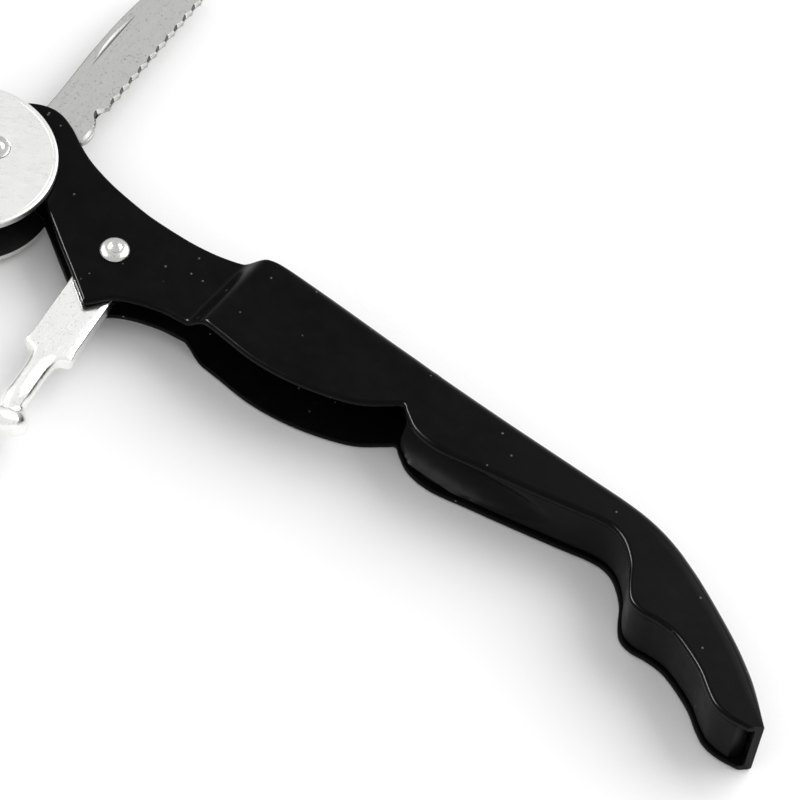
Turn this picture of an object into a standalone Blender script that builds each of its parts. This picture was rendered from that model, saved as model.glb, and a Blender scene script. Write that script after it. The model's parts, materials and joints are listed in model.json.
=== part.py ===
"""Waiter's corkscrew with a two-stage lever, lying on its side with every folding tool open.

Frame: +X runs along the handle to its tail, +Y to its back, +Z up out of the side it lies on.
The origin is on the flat lower cheek, below the middle of the handle. All joints turn about Z.
"""

import math

import bmesh
import bpy
from mathutils import Matrix

MM = 0.001

# Handle
BODY_THICKNESS = 10.4
HEAD_THICKNESS = 5.0
SHEET = 1.0
MID = BODY_THICKNESS / 2
HEAD_EDGE_RADIUS = 0.4
BACK_RADIUS = 2.0
BACK_ALLOWANCE = 0.47  # how far a back edge is set out for each millimetre of its radius
SMALLEST_RADIUS = 0.12
SLOT_WIDTH = 2.4
SLOT_START_X = -62.0
SLOT_END_X = -6.5
SLOT_DEPTH = (-0.5, 12.0)

# Pivots, in plan
WORM_PIVOT = (-30.0, -4.0)
LEVER_PIVOT = (-50.6, -2.1)
KNIFE_PIVOT = (-47.6, 3.0)

# Angles of the open tools, and of the folded worm
WORM_OPEN = -81.5
WORM_FOLDED = 0.0
KNIFE_OPEN = 94.5
LEVER_OPEN = 210.0

# Worm
TANG_THICKNESS = 2.4
TANG_HALF_WIDTH = 3.1
TANG_LENGTH = 16.5
WIRE_RADIUS = 1.6
COIL_RADIUS = 2.4
COIL_PITCH = 8.2
COIL_TURNS = 4.4
COIL_START = 23.0
NECK_LENGTH = 6.0
COIL_FIRST_ANGLE = 180.0
STEPS_PER_TURN = 14
POINT_STEPS = 12
POINT_SIZE = 0.12
WIRE_SIDES = 12

# Knife
BLADE_THICKNESS = 1.0
BLADE_HALF_WIDTH = 3.3
BLADE_TIP = 39.0
SPINE_FLARE = ((8.0, 0.0), (13.0, 0.175), (18.0, 0.35))  # how far the spine stands out, at x
SPINE_END = 20.0  # where the spine starts to curve down to the tip
TOOTH_PITCH = 2.1
TOOTH_DEPTH = 0.45
TOOTH_COUNT = 12
FIRST_TOOTH = 11.5

# Lever
LEVER_WIDTH = 8.2
LINK_WIDTH = 5.0
DISC_RADIUS = 11.2
DISC_CENTRE = (3.1, 1.8)
LINK_PIVOT_X = 29.0

# Rivets, bushes and washers
PIN_RADIUS = 1.2
CLEARANCE = 0.15
BUSH_RADIUS = 2.0
WASHER_RADIUS = 2.9
RIVET_HEAD_RADIUS = 1.9
RIVET_HEAD_HEIGHT = 0.55
SINK = 0.6  # depth of the countersunk rivet ends
FLUSH_HEAD_RADIUS = PIN_RADIUS + 0.55
ROUND = 24

# Ribs of the handle, head to tail: the back end and the belly end of each, in plan.
RIBS = (
    ((-55.8, 1.2), (-56.0, -3.4)),
    ((-55.0, 4.2), (-55.0, -5.6)),
    ((-53.2, 6.6), (-53.2, -7.0)),
    ((-50.8, 8.1), (-50.8, -7.5)),
    ((-48.5, 8.4), (-48.2, -6.9)),
    ((-46.0, 7.6), (-46.0, -5.2)),
    ((-43.8, 6.4), (-44.2, -3.8)),
    ((-42.0, 5.5), (-42.0, -3.6)),
    ((-39.8, 4.7), (-40.2, -4.6)),
    ((-36.5, 3.9), (-35.5, -7.7)),
    ((-33.0, 3.4), (-31.5, -10.3)),
    ((-30.5, 3.15), (-29.0, -12.0)),
    ((-29.2, 3.1), (-28.2, -12.4)),
    ((-27.6, 3.1), (-27.3, -11.5)),
    ((-25.8, 3.15), (-26.0, -9.8)),
    ((-23.2, 3.3), (-23.6, -8.4)),
    ((-20.4, 3.7), (-20.4, -7.3)),
    ((-18.0, 4.3), (-18.0, -6.9)),
    ((-16.0, 5.0), (-16.2, -6.7)),
    ((-13.6, 5.8), (-13.8, -6.7)),
    ((-11.5, 6.2), (-11.0, -6.9)),
    ((-6.0, 6.1), (-6.0, -7.3)),
    ((0.0, 5.9), (-0.8, -6.8)),
    ((5.0, 5.7), (4.2, -5.5)),
    ((9.0, 5.6), (8.0, -3.9)),
    ((11.4, 5.5), (10.8, -1.7)),
    ((12.4, 5.5), (12.0, -0.8)),
    ((13.4, 5.45), (13.2, -1.6)),
    ((15.5, 5.4), (15.5, -2.9)),
    ((19.0, 5.35), (19.0, -3.25)),
    ((24.0, 5.3), (24.0, -2.3)),
    ((30.0, 5.3), (30.0, -1.1)),
    ((36.5, 5.3), (36.5, 0.3)),
    ((41.0, 5.3), (40.0, 1.1)),
    ((44.3, 5.1), (42.2, 1.2)),
    ((47.0, 4.6), (44.3, 0.4)),
    ((49.6, 3.8), (46.6, -1.7)),
    ((51.8, 2.9), (48.2, -4.3)),
    ((53.6, 2.1), (49.5, -5.8)),
    ((55.4, 1.2), (51.3, -6.3)),
    ((57.4, 0.15), (53.5, -6.1)),
    ((59.4, -0.95), (56.0, -6.25)),
    ((61.6, -2.2), (58.7, -7.2)),
    ((63.8, -3.6), (61.5, -8.6)),
    ((66.2, -5.3), (63.8, -10.3)),
    ((68.3, -7.0), (65.6, -11.3)),
    ((70.2, -8.6), (67.8, -11.6)),
    ((71.8, -10.0), (70.4, -11.3)),
)
RAMP_START = 17.7
RAMP_END = 19.1
BACK_ROUND_START = 19.0
BACK_ROUND_END = 21.5
TAIL_ROUND_END = 44.0
INSERT_START = 26.4
INSERT_END = 46.3
RIM_HEIGHT = 0.4
INSERT_GAP = 0.2
SCOOP_RADIUS = 4.2
SCOOP_START = -1.0
SCOOP_END = 68.0

BLACK_PAINT = ((0.012, 0.012, 0.013), 0.35, 0.0)
BLACK_PLASTIC = ((0.010, 0.010, 0.011), 0.5, 0.0)
SATIN_STEEL = ((0.62, 0.62, 0.60), 0.35, 1.0)
BRIGHT_PLATE = ((0.75, 0.75, 0.74), 0.18, 1.0)
GREY_STEEL = ((0.50, 0.50, 0.49), 0.4, 1.0)
LEVER_STEEL = ((0.72, 0.72, 0.71), 0.3, 1.0)


def clear_scene():
    for obj in list(bpy.data.objects):
        bpy.data.objects.remove(obj, do_unlink=True)


def material(name, look):
    colour, roughness, metallic = look
    made = bpy.data.materials.get(name) or bpy.data.materials.new(name)
    made.use_nodes = True
    shader = made.node_tree.nodes["Principled BSDF"]
    shader.inputs["Base Color"].default_value = (*colour, 1.0)
    shader.inputs["Roughness"].default_value = roughness
    shader.inputs["Metallic"].default_value = metallic
    return made


def add_object(name, bm, pivot=(0.0, 0.0, 0.0), angle=0.0, finish=None):
    """The bmesh, in millimetres about its pivot, as an object standing on that pivot."""
    bmesh.ops.scale(bm, vec=(MM, MM, MM), verts=bm.verts)
    bmesh.ops.recalc_face_normals(bm, faces=bm.faces)
    mesh = bpy.data.meshes.new(name)
    bm.to_mesh(mesh)
    bm.free()
    obj = bpy.data.objects.new(name, mesh)
    bpy.context.scene.collection.objects.link(obj)
    obj.location = [MM * value for value in pivot]
    obj.rotation_euler.z = math.radians(angle)
    if finish:
        mesh.materials.append(material(*finish))
        mesh.shade_smooth()
        mesh.set_sharp_from_angle(angle=math.radians(35))
    return obj


def as_cutter(obj):
    obj.hide_render = True
    obj.display_type = "WIRE"
    return obj


def boolean(obj, cutter, operation="DIFFERENCE"):
    modifier = obj.modifiers.new(cutter.name, "BOOLEAN")
    modifier.operation = operation
    modifier.object = as_cutter(cutter)


def bridge(bm, rings, closed=False):
    """Joins rings of equal length into a tube, and caps its ends unless it is closed."""
    loops = [[bm.verts.new(point) for point in ring] for ring in rings]
    pairs = list(zip(loops, loops[1:]))
    if closed:
        pairs.append((loops[-1], loops[0]))
    for first, second in pairs:
        for index in range(len(first)):
            after = (index + 1) % len(first)
            bm.faces.new((first[index], first[after], second[after], second[index]))
    if not closed:
        bm.faces.new(loops[0][::-1])
        bm.faces.new(loops[-1])


def prism(outline, low, high):
    bm = bmesh.new()
    bridge(bm, [[(x, y, z) for x, y in outline] for z in (low, high)])
    return bm


def lathe(profile, segments=ROUND):
    """Turns a closed profile of (radius, z) about Z. A radius of 0 is not used: bores stay open."""
    bm = bmesh.new()
    rings = []
    for step in range(segments):
        turn = math.tau * step / segments
        rings.append([(r * math.cos(turn), r * math.sin(turn), z) for r, z in profile])
    bridge(bm, rings, closed=True)
    return bm


def spindle(profile, segments=ROUND):
    """A turned solid with flat ends: a stack of circles, each given as (radius, z)."""
    bm = bmesh.new()
    bridge(bm, [circle((0.0, 0.0), r, segments, z) for r, z in profile])
    return bm


def circle(centre, radius, segments, z=None):
    points = []
    for step in range(segments):
        turn = math.tau * step / segments
        points.append((centre[0] + radius * math.cos(turn), centre[1] + radius * math.sin(turn)))
    return points if z is None else [(x, y, z) for x, y in points]


def arc(centre, radius, start, end, steps):
    """Points on an arc, its angles in degrees, both ends included."""
    points = []
    for step in range(steps + 1):
        turn = math.radians(start + (end - start) * step / steps)
        points.append((centre[0] + radius * math.cos(turn), centre[1] + radius * math.sin(turn)))
    return points


def curve_value(values, place):
    """Catmull-Rom value at a fractional index of a list of numbers."""
    last = len(values) - 1
    index = min(int(place), last - 1)
    t = place - index
    a, b, c, d = (values[min(max(index + k, 0), last)] for k in (-1, 0, 1, 2))
    return b + 0.5 * t * (c - a + t * (2 * a - 5 * b + 4 * c - d + t * (3 * (b - c) + d - a)))


def rib_at(place):
    """Back end and belly end of the rib at a fractional index."""
    back = [curve_value([rib[0][axis] for rib in RIBS], place) for axis in (0, 1)]
    belly = [curve_value([rib[1][axis] for rib in RIBS], place) for axis in (0, 1)]
    return back, belly


def blend(place, start, end):
    t = min(max((place - start) / (end - start), 0.0), 1.0)
    return t * t * (3 - 2 * t)


def rib_places(first, last, fine):
    """Indices of the ribs between two places, with extra ones where the fine ranges ask."""
    places = {first, last}
    for index in range(math.ceil(first), math.floor(last) + 1):
        places.add(float(index))
        for low, high, parts in fine:
            if low <= index < high:
                places.update(index + k / parts for k in range(parts))
    return sorted(place for place in places if first <= place <= last)


def section_at(place):
    """Belly end, length and direction of a cross-section, and how much its back edges are rounded on."""
    back, belly = rib_at(place)
    length = math.dist(back, belly)
    along = [(back[axis] - belly[axis]) / length for axis in (0, 1)]
    growth = (BACK_RADIUS - HEAD_EDGE_RADIUS) * blend(place, BACK_ROUND_START, BACK_ROUND_END)
    growth *= 1.0 - blend(place, TAIL_ROUND_END, len(RIBS) - 1.0)
    return belly, length + BACK_ALLOWANCE * growth, along, growth


def channel_section(place):
    """One cross-section of the handle: a U of sheet steel that opens to the belly."""
    belly, length, along, growth = section_at(place)
    half = (HEAD_THICKNESS + (BODY_THICKNESS - HEAD_THICKNESS) * blend(place, RAMP_START, RAMP_END)) / 2
    radius = min(HEAD_EDGE_RADIUS + growth, length - SMALLEST_RADIUS)
    inner = max(radius - SHEET, SMALLEST_RADIUS)
    outer_side = [(0.0, -half), *arc((length - radius, radius - half), radius, -90, 0, 4)]
    inner_back = length - SHEET
    inner_half = half - SHEET
    corner = (inner_back - inner, inner - inner_half)
    inner_side = [(0.0, -inner_half), *arc(corner, inner, -90, 0, 4)]
    profile = outer_side + [(t, -z) for t, z in reversed(outer_side)]
    profile += [(t, -z) for t, z in inner_side]
    profile += list(reversed(inner_side))
    return [(belly[0] + t * along[0], belly[1] + t * along[1], MID + z) for t, z in profile]


def bore(name, centre, radius, low=-5.0, high=20.0):
    return add_object(name, prism(circle(centre, radius, ROUND), low, high))


def handle_shell():
    """Pressed steel channel, open at the belly, with a narrow forked head for the tools."""
    fine = ((3, 8, 2), (10, 14, 2), (17, 20, 4), (24, 29, 2), (44, 47, 2))
    bm = bmesh.new()
    bridge(bm, [channel_section(place) for place in rib_places(0.0, len(RIBS) - 1.0, fine)])
    shell = add_object("handle_shell", bm, finish=("black_painted_steel", BLACK_PAINT))
    slot = bmesh.new()
    half = SLOT_WIDTH / 2
    end = arc((SLOT_END_X - half, 0.0), half, -90, 90, 8)
    side = [(SLOT_START_X, -half), *end, (SLOT_START_X, half)]
    bridge(slot, [[(x, y, MID + z) for x, z in side] for y in SLOT_DEPTH])
    boolean(shell, add_object("knife_slot_cutter", slot))
    boolean(shell, bore("worm_bore_cutter", WORM_PIVOT, PIN_RADIUS + CLEARANCE))
    boolean(shell, bore("lever_bore_cutter", LEVER_PIVOT, PIN_RADIUS + CLEARANCE))
    hole = PIN_RADIUS + CLEARANCE
    seat = rivet_profile(HEAD_THICKNESS, hole, hole + SINK, SINK, 0.2)
    boolean(shell, add_object("knife_bore_cutter", spindle(seat), (*KNIFE_PIVOT, MID)))
    return shell


def rivet_profile(width, pin, head, sink, proud=0.0):
    """Profile of a rivet with countersunk ends, about its middle: (radius, z) from low to high."""
    end = width / 2
    low = [(head, -end), (pin, -end + sink)]
    if proud:
        low.insert(0, (head, -end - proud))
    return low + [(r, -z) for r, z in reversed(low)]


def grip_insert():
    """Moulded filler of the tail, with finger grooves and a scoop for the point of the worm."""
    rings = []
    half = MID - SHEET - INSERT_GAP
    corner = 0.5
    for place in rib_places(INSERT_START, INSERT_END, ((26, 29, 2),)):
        belly, length, along, _ = section_at(place)
        front = RIM_HEIGHT
        rear = length - SHEET - INSERT_GAP
        most = 0.45 * (rear - front)
        edge = min(BACK_RADIUS - SHEET, most)
        nose = min(corner, most)
        side = [(front, -half + nose), (front + nose, -half), (rear - edge, -half), (rear, -half + edge)]
        profile = side + [(t, -z) for t, z in reversed(side)]
        rings.append([(belly[0] + t * along[0], belly[1] + t * along[1], MID + z) for t, z in profile])
    bm = bmesh.new()
    bridge(bm, rings)
    insert = add_object("grip_insert", bm, finish=("black_plastic", BLACK_PLASTIC))
    cutter = spindle([(SCOOP_RADIUS, SCOOP_START), (SCOOP_RADIUS, SCOOP_END)])
    bmesh.ops.rotate(cutter, verts=cutter.verts, matrix=Matrix.Rotation(math.radians(90), 3, "Y"))
    boolean(insert, add_object("scoop_cutter", cutter, (*WORM_PIVOT, MID), WORM_FOLDED))
    return insert


def worm_path():
    """Centre line of the wire, along local +X: out of the tang, round the coil, to the point."""
    points = []
    start = TANG_LENGTH - 2.5
    straight_steps = 4
    for step in range(straight_steps):
        points.append((start + step * (COIL_START - start) / straight_steps, 0.0, 0.0, WIRE_RADIUS))
    total = int(COIL_TURNS * STEPS_PER_TURN)
    for step in range(total + 1):
        turns = step / STEPS_PER_TURN
        along = turns * COIL_PITCH
        radius = COIL_RADIUS * blend(along, 0.0, NECK_LENGTH)
        angle = math.radians(COIL_FIRST_ANGLE) + math.tau * turns
        sharpness = math.sqrt((total - step) / POINT_STEPS)
        wire = WIRE_RADIUS * min(1.0, POINT_SIZE + (1.0 - POINT_SIZE) * sharpness)
        x = COIL_START + along
        points.append((x, radius * math.cos(angle), radius * math.sin(angle), wire))
    return points


def sweep(path, segments):
    """Round tube through (x, y, z, radius) points that run along +X."""
    rings = []
    for index, (x, y, z, radius) in enumerate(path):
        before = path[max(index - 1, 0)]
        after = path[min(index + 1, len(path) - 1)]
        tangent = [after[axis] - before[axis] for axis in range(3)]
        length = math.hypot(*tangent)
        tangent = [value / length for value in tangent]
        side = (-tangent[1], tangent[0], 0.0)
        size = math.hypot(*side)
        side = [value / size for value in side]
        up = (
            tangent[1] * side[2] - tangent[2] * side[1],
            tangent[2] * side[0] - tangent[0] * side[2],
            tangent[0] * side[1] - tangent[1] * side[0],
        )
        centre = (x, y, z)
        ring = []
        for across, rise in circle((0.0, 0.0), radius, segments):
            ring.append([centre[axis] + across * side[axis] + rise * up[axis] for axis in range(3)])
        rings.append(ring)
    bm = bmesh.new()
    bridge(bm, rings)
    return bm


def worm():
    """Coiled steel wire whose root is pressed flat into a tang for the rivet."""
    shoulder = [(TANG_LENGTH - 1.0, TANG_HALF_WIDTH + 0.2), (TANG_LENGTH, TANG_HALF_WIDTH - 0.1)]
    shoulder.append((TANG_LENGTH + 1.6, 1.3))
    outline = arc((0.0, 0.0), TANG_HALF_WIDTH, 90, 270, 12)
    outline += [(x, -y) for x, y in shoulder]
    outline += list(reversed(shoulder))
    half = TANG_THICKNESS / 2
    place = (*WORM_PIVOT, MID)
    finish = ("bright_plated_steel", BRIGHT_PLATE)
    tang = add_object("worm", prism(outline, -half, half), place, WORM_OPEN, finish)
    wire = add_object("worm_wire", sweep(worm_path(), WIRE_SIDES), place, WORM_OPEN)
    boolean(tang, wire, "UNION")
    boolean(tang, bore("tang_bore_cutter", WORM_PIVOT, PIN_RADIUS + CLEARANCE))
    return tang


def domed_rivet(name, pivot, width, finish):
    """Rivet with low domed heads, each with a small dimple at its centre."""
    end = width / 2 + 0.08
    top = end + RIVET_HEAD_HEIGHT
    head = RIVET_HEAD_RADIUS
    half = [
        (0.35, top - 0.25),
        (0.75, top - 0.05),
        (0.95, top),
        (0.8 * head, top - 0.12),
        (0.95 * head, top - 0.3),
        (head, end + 0.1),
        (head, end),
        (PIN_RADIUS, end),
    ]
    profile = [(r, -z) for r, z in half] + list(reversed(half))
    return add_object(name, spindle(profile), (*pivot, MID), finish=finish)


def flush_rivet(name, pivot, width):
    profile = rivet_profile(width, PIN_RADIUS, FLUSH_HEAD_RADIUS, SINK)
    return add_object(name, spindle(profile), (*pivot, MID), finish=("grey_steel", GREY_STEEL))


def washer(name, pivot, low, high, radius=WASHER_RADIUS):
    inside = PIN_RADIUS + CLEARANCE
    profile = [(inside, low), (radius, low), (radius, high), (inside, high)]
    return add_object(name, lathe(profile), (*pivot, MID), finish=("grey_steel", GREY_STEEL))


def washer_pair(kind, pivot, low, high):
    washer(kind + "_washer_upper", pivot, low, high)
    washer(kind + "_washer_lower", pivot, -high, -low)


def blade_outline():
    """Outline of the foil knife about its pivot, along local +X, with the edge towards -Y."""
    edge = -BLADE_HALF_WIDTH
    points = arc((0.0, 0.0), BLADE_HALF_WIDTH, 90, 262, 12)
    points += [(4.4, edge), (4.7, edge - 0.5), (5.6, edge - 0.65), (6.9, edge - 0.5), (7.3, edge)]
    points += [(8.1, edge), (8.7, edge + 0.7), (9.6, edge + 0.95), (10.5, edge + 0.7), (11.0, edge)]
    for tooth in range(TOOTH_COUNT):
        start = FIRST_TOOTH + tooth * TOOTH_PITCH
        points.append((start, edge))
        for part in (0.25, 0.5, 0.75):
            points.append((start + part * TOOTH_PITCH, edge + TOOTH_DEPTH * math.sin(math.pi * part)))
    points.append((FIRST_TOOTH + TOOTH_COUNT * TOOTH_PITCH, edge))
    points.append((BLADE_TIP - 0.4, edge + 0.1))
    for step in range(11):
        turn = 0.5 * math.pi * (1 - step / 10)
        x = SPINE_END + (BLADE_TIP - SPINE_END) * math.sin(turn) ** 0.9
        full = 2 * BLADE_HALF_WIDTH + SPINE_FLARE[-1][1] - 0.4
        rise = full * math.cos(turn) ** 0.72 if step else 0.0
        points.append((x, edge + 0.4 + rise))
    points += [(x, BLADE_HALF_WIDTH + out) for x, out in reversed(SPINE_FLARE)]
    return points


def knife_blade():
    half = BLADE_THICKNESS / 2
    place = (*KNIFE_PIVOT, MID)
    finish = ("satin_steel", SATIN_STEEL)
    blade = add_object("knife_blade", prism(blade_outline(), -half, half), place, KNIFE_OPEN, finish)
    boolean(blade, bore("blade_bore_cutter", KNIFE_PIVOT, PIN_RADIUS + CLEARANCE))
    nick = prism(arc((20.5, 10.0), 9.0, 237, 303, 10), half - 0.35, half + 1.0)
    boolean(blade, add_object("nail_nick_cutter", nick, place, KNIFE_OPEN))
    return blade


def lever_place(x, y=0.0):
    """Plan position of a point that is given along and across the open lever."""
    turn = math.radians(LEVER_OPEN)
    return (
        LEVER_PIVOT[0] + x * math.cos(turn) - y * math.sin(turn),
        LEVER_PIVOT[1] + x * math.sin(turn) + y * math.cos(turn),
    )


def upper_arm_outline():
    """Cheek of the upper lever arm about its pivot: a round disc, an arm and the first step."""
    points = arc(DISC_CENTRE, DISC_RADIUS, 38, 322, 40)
    points += [(14.5, -5.4), (20.0, -4.9), (25.0, -4.6)]
    points += arc((LINK_PIVOT_X, 0.0), 4.6, -80, 30, 9)
    points += [(31.2, 4.6), (30.4, 7.4), (29.2, 8.0), (28.2, 7.6), (27.6, 5.4), (26.6, 4.8), (25.6, 5.4)]
    points += [(23.0, 6.2), (18.0, 6.6), (14.5, 7.3)]
    return points


def u_arm(name, outline, width, web, pivot):
    """Folded sheet-steel arm: two cheeks of one outline, joined by a web (start, end, height)."""
    place = (*pivot, MID)
    half = width / 2
    arm = add_object(name, prism(outline, -half, half), place, LEVER_OPEN, ("lever_steel", LEVER_STEEL))
    inner = half - SHEET
    low, high, floor = web
    inside = [(-30.0, -30.0), (low, -30.0), (low, floor), (high, floor), (high, -30.0), (60.0, -30.0)]
    inside += [(60.0, 30.0), (-30.0, 30.0)]
    boolean(arm, add_object(name + "_channel_cutter", prism(inside, -inner, inner), place, LEVER_OPEN))
    return arm


def lever_upper_arm():
    web = (14.8, 24.0, -3.7)
    arm = u_arm("lever_upper_arm", upper_arm_outline(), LEVER_WIDTH, web, LEVER_PIVOT)
    hole = PIN_RADIUS + CLEARANCE
    seat = rivet_profile(LEVER_WIDTH, hole, FLUSH_HEAD_RADIUS + CLEARANCE, SINK, 0.3)
    for index, x in enumerate((0.0, LINK_PIVOT_X)):
        boolean(arm, add_object(f"rivet_seat_cutter_{index}", spindle(seat), (*lever_place(x), MID)))
    return arm


def lower_arm_outline():
    """Cheek of the lower lever arm about the link pivot, with the second step at its end."""
    points = arc((0.0, 0.0), 3.9, 80, 270, 12)
    points += [(6.0, -4.2), (14.0, -4.6), (22.0, -4.4), (28.0, -3.4), (31.6, -1.4), (33.4, 1.2)]
    points += [(34.2, 4.2), (34.0, 6.8), (33.2, 7.6), (32.2, 7.2), (31.4, 4.8), (30.2, 4.0), (28.8, 4.4)]
    points += [(25.0, 4.6), (16.0, 4.4), (8.0, 4.1)]
    return points


def lever_lower_arm():
    link = lever_place(LINK_PIVOT_X)
    web = (8.0, 60.0, -2.4)
    arm = u_arm("lever_lower_arm", lower_arm_outline(), LINK_WIDTH, web, link)
    boolean(arm, bore("link_bore_cutter", link, PIN_RADIUS + CLEARANCE))
    window = [(22.5, -10.0), (28.0, -10.0), (28.0, 0.0), (22.5, 0.0)]
    cutter = prism(window, -0.9, 0.9)
    boolean(arm, add_object("cap_lifter_window_cutter", cutter, (*link, MID), LEVER_OPEN))
    return arm


def main():
    clear_scene()
    handle_shell()
    grip_insert()
    worm()
    domed_rivet("worm_rivet", WORM_PIVOT, HEAD_THICKNESS, ("satin_steel", SATIN_STEEL))
    knife_blade()
    flush_rivet("knife_rivet", KNIFE_PIVOT, HEAD_THICKNESS)
    blade_face = BLADE_THICKNESS / 2
    head_inside = HEAD_THICKNESS / 2 - SHEET
    washer_pair("knife", KNIFE_PIVOT, blade_face + 0.2, head_inside - 0.2)
    lever_upper_arm()
    flush_rivet("lever_pivot_rivet", LEVER_PIVOT, LEVER_WIDTH)
    head_face = HEAD_THICKNESS / 2
    lever_inside = LEVER_WIDTH / 2 - SHEET
    washer_pair("lever", LEVER_PIVOT, head_face + CLEARANCE, lever_inside - CLEARANCE)
    washer("pivot_bushing", LEVER_PIVOT, -head_inside + 0.2, head_inside - 0.2, BUSH_RADIUS)
    lever_lower_arm()
    link = lever_place(LINK_PIVOT_X)
    flush_rivet("link_rivet", link, LEVER_WIDTH)
    washer_pair("link", link, LINK_WIDTH / 2 + CLEARANCE, lever_inside - CLEARANCE)
    link_inside = LINK_WIDTH / 2 - SHEET
    washer("link_bushing", link, -link_inside + 0.2, link_inside - 0.2, BUSH_RADIUS)


main()
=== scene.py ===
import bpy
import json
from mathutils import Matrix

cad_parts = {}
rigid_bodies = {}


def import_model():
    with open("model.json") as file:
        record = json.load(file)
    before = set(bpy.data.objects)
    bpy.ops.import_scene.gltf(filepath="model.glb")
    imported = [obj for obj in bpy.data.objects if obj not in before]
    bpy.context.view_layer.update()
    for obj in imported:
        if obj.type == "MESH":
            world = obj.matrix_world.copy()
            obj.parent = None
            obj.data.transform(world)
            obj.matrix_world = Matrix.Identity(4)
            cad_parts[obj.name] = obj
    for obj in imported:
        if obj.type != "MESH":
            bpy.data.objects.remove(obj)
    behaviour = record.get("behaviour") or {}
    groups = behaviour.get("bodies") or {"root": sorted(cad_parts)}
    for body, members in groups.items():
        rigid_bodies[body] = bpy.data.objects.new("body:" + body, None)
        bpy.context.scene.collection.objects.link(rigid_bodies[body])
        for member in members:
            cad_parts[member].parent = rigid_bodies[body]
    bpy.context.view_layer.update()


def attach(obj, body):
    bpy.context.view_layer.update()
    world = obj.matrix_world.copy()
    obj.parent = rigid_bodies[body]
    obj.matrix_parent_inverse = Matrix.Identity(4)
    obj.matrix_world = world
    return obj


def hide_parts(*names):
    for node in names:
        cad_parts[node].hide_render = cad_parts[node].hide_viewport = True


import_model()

"""Looks of the waiter's corkscrew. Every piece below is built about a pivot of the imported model,
in millimetres, and replaces the CAD node of the same name.
"""

import json
import math

import bmesh
import bpy
from mathutils import Matrix, Vector

MM = 0.001
PIECE = "_piece"

# Sizes and places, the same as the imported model's
BODY_THICKNESS = 10.4
HEAD_THICKNESS = 5.0
SHEET = 1.0
MID = BODY_THICKNESS / 2
HEAD_EDGE_RADIUS = 0.4
BACK_RADIUS = 2.0
BACK_ALLOWANCE = 0.47  # how far a back edge is set out for each millimetre of its radius
SLOT_WIDTH = 2.4
SLOT_START_X = -62.0
SLOT_END_X = -6.5
SLOT_DEPTH = (-0.5, 12.0)
THROUGH = (-5.0, 20.0)  # heights between which a cutter passes through everything
WORM_PIVOT = (-30.0, -4.0)
LEVER_PIVOT = (-50.6, -2.1)
KNIFE_PIVOT = (-47.6, 3.0)
WORM_OPEN = -81.5
WORM_FOLDED = 0.0
KNIFE_OPEN = 94.5
LEVER_OPEN = 210.0
TANG_HALF_WIDTH = 3.1
TANG_HALF_THICKNESS = 1.2
TANG_LENGTH = 16.5
WIRE_RADIUS = 1.6
COIL_RADIUS = 2.4
COIL_PITCH = 8.2
COIL_TURNS = 4.4
COIL_START = 23.0
NECK_LENGTH = 6.0
COIL_FIRST_ANGLE = 180.0
BLADE_THICKNESS = 1.0
BLADE_HALF_WIDTH = 3.3
BLADE_TIP = 39.0
TOOTH_PITCH = 2.1
TOOTH_COUNT = 12
FIRST_TOOTH = 11.5
LEVER_WIDTH = 8.2
LINK_WIDTH = 5.0
DISC_RADIUS = 11.2
DISC_CENTRE = (3.1, 1.8)
LINK_PIVOT_X = 29.0
PIN_RADIUS = 1.2
CLEARANCE = 0.15
BUSH_RADIUS = 2.0
WASHER_RADIUS = 2.9
RIVET_HEAD_RADIUS = 1.9
RIVET_HEAD_HEIGHT = 0.55

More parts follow.
